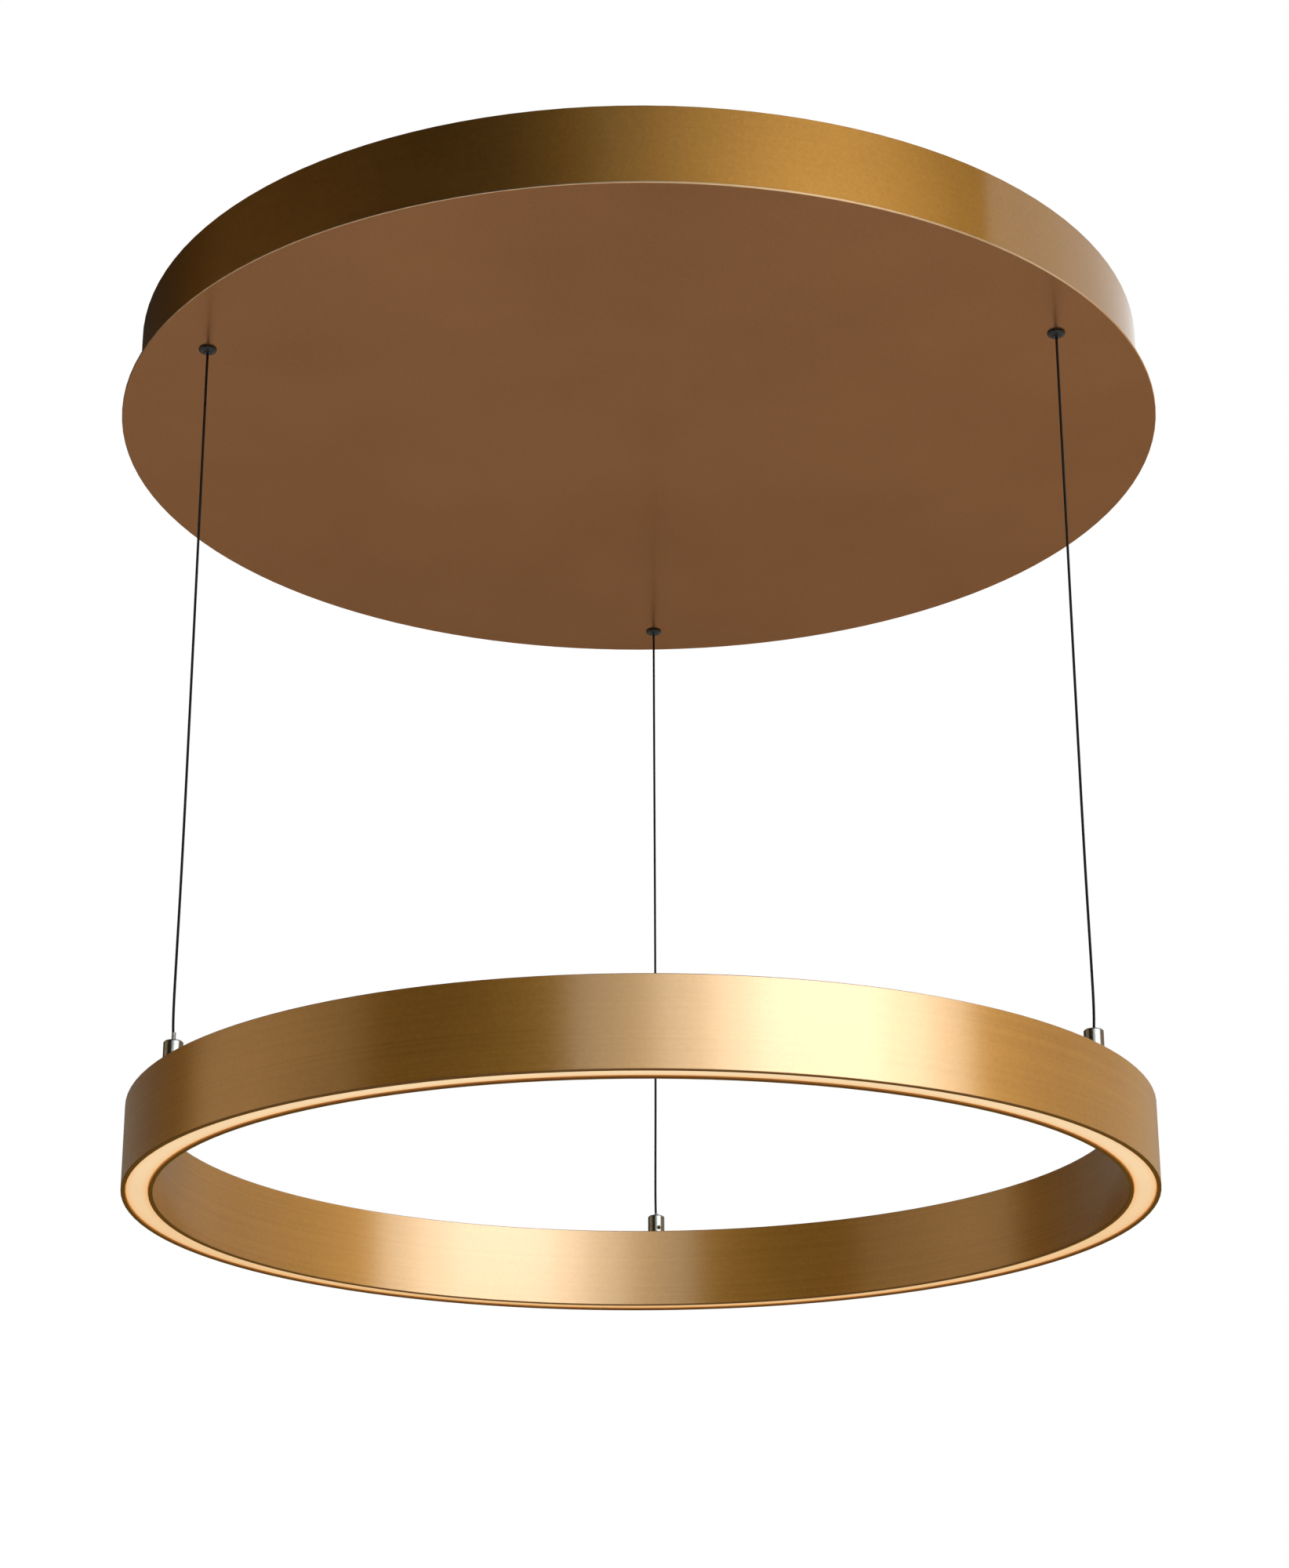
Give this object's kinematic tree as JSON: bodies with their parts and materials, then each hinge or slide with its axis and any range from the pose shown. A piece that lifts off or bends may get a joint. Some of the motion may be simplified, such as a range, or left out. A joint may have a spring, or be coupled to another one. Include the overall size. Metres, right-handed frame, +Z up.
{
  "type": "ring chandelier",
  "caption": "Round light ring with an opal diffuser facing down, hung on thin adjustable cables from a wide round flat ceiling canopy.",
  "frame": {"origin": "centre of the ceiling plane, in the middle of the row of ceiling screw holes", "axes": "+Z up, towards the ceiling; +X along the ceiling bracket; the lamp hangs below the origin, and one cable is at +Y"},
  "size_m": [0.6499, 0.65, 0.545],
  "materials": {
    "gold_lacquer_ring": "fine brushed aluminium under a satin champagne-gold lacquer",
    "gold_lacquer_canopy": "sheet steel with a satin champagne-gold metallic lacquer",
    "opal_diffuser": "opal acrylic, lit warm white from behind",
    "circuit_strip": "white flexible circuit",
    "light_chip": "warm white light chip with yellow phosphor",
    "chrome_fitting": "turned brass, bright chrome plated",
    "clear_sleeve": "clear grey plastic sleeve",
    "cable_sheath": "smooth black plastic sheath over a steel cable",
    "black_metal": "turned steel, black, semi-gloss",
    "bright_steel": "bright steel",
    "zinc_steel": "zinc-plated steel",
    "dark_steel": "dark steel",
    "block_aluminium": "milled aluminium",
    "tinned_copper": "tinned crimp sleeve",
    "white_plastic": "white moulded plastic",
    "circuit_board": "green circuit board with its parts",
    "white_sheath": "white plastic sheath",
    "lead_sheath": "red and black twin lead, plastic sheath",
    "earth_sheath": "green and yellow plastic sheath"
  },
  "bodies": {
    "canopy": {"bracket_side_screws": "dark_steel", "cable_end_sleeves": "tinned_copper", "cable_far": "cable_sheath", "cable_left": "cable_sheath", "cable_right": "cable_sheath", "cable_slack_far": "cable_sheath", "cable_slack_left": "cable_sheath", "cable_slack_right": "cable_sheath", "canopy_drum": "gold_lacquer_canopy", "canopy_face_plate": "gold_lacquer_canopy", "ceiling_bracket": "zinc_steel", "driver_board": "circuit_board", "driver_case": "white_plastic", "driver_lid": "white_plastic", "driver_screws": "zinc_steel", "earth_lead": "earth_sheath", "earth_screw": "zinc_steel", "face_plate_nuts": "zinc_steel", "grip_barrel_far": "black_metal", "grip_barrel_left": "black_metal", "grip_barrel_right": "black_metal", "grip_cap_far": "black_metal", "grip_cap_left": "black_metal", "grip_cap_right": "black_metal", "grip_nuts": "zinc_steel", "grip_spring_far": "bright_steel", "grip_spring_left": "bright_steel", "grip_spring_right": "bright_steel", "mains_lead": "white_sheath", "output_lead_far": "lead_sheath", "output_lead_right": "lead_sheath", "terminal_block": "white_plastic", "terminal_screws": "zinc_steel"},
    "ring": {"anchor_block_far": "block_aluminium", "anchor_block_left": "block_aluminium", "anchor_block_right": "block_aluminium", "anchor_screws": "zinc_steel", "cable_connector_far": "chrome_fitting", "cable_connector_left": "chrome_fitting", "cable_connector_right": "chrome_fitting", "cable_sleeve_far": "clear_sleeve", "cable_sleeve_left": "clear_sleeve", "cable_sleeve_right": "clear_sleeve", "connector_grub_screws": "dark_steel", "diffuser": "opal_diffuser", "feed_lead_far": "lead_sheath", "feed_lead_right": "lead_sheath", "led_chips": "light_chip", "led_strip": "circuit_strip", "ring_profile": "gold_lacquer_ring", "ring_top_cover": "gold_lacquer_ring"},
    "plunger_far": {"grip_plunger_far": "black_metal", "grip_balls_far": "bright_steel"},
    "plunger_left": {"grip_plunger_left": "black_metal", "grip_balls_left": "bright_steel"},
    "plunger_right": {"grip_plunger_right": "black_metal", "grip_balls_right": "bright_steel"}
  },
  "joints": [
    {"name": "ring_height", "type": "slide", "parent": "canopy", "child": "ring", "axis": [0, 0, 1], "range_m": [-1, 0.3], "deforming": ["cable_far", "cable_left", "cable_right"]},
    {"name": "grip_release_far", "type": "slide", "parent": "canopy", "child": "plunger_far", "axis": [0, 0, 1], "range_m": [0, 0.001], "stiffness_N_per_m": 300, "springref_m": -0.003, "deforming": ["grip_spring_far"]},
    {"name": "grip_release_left", "type": "slide", "parent": "canopy", "child": "plunger_left", "axis": [0, 0, 1], "range_m": [0, 0.001], "stiffness_N_per_m": 300, "springref_m": -0.003, "deforming": ["grip_spring_left"]},
    {"name": "grip_release_right", "type": "slide", "parent": "canopy", "child": "plunger_right", "axis": [0, 0, 1], "range_m": [0, 0.001], "stiffness_N_per_m": 300, "springref_m": -0.003, "deforming": ["grip_spring_right"]}
  ]
}
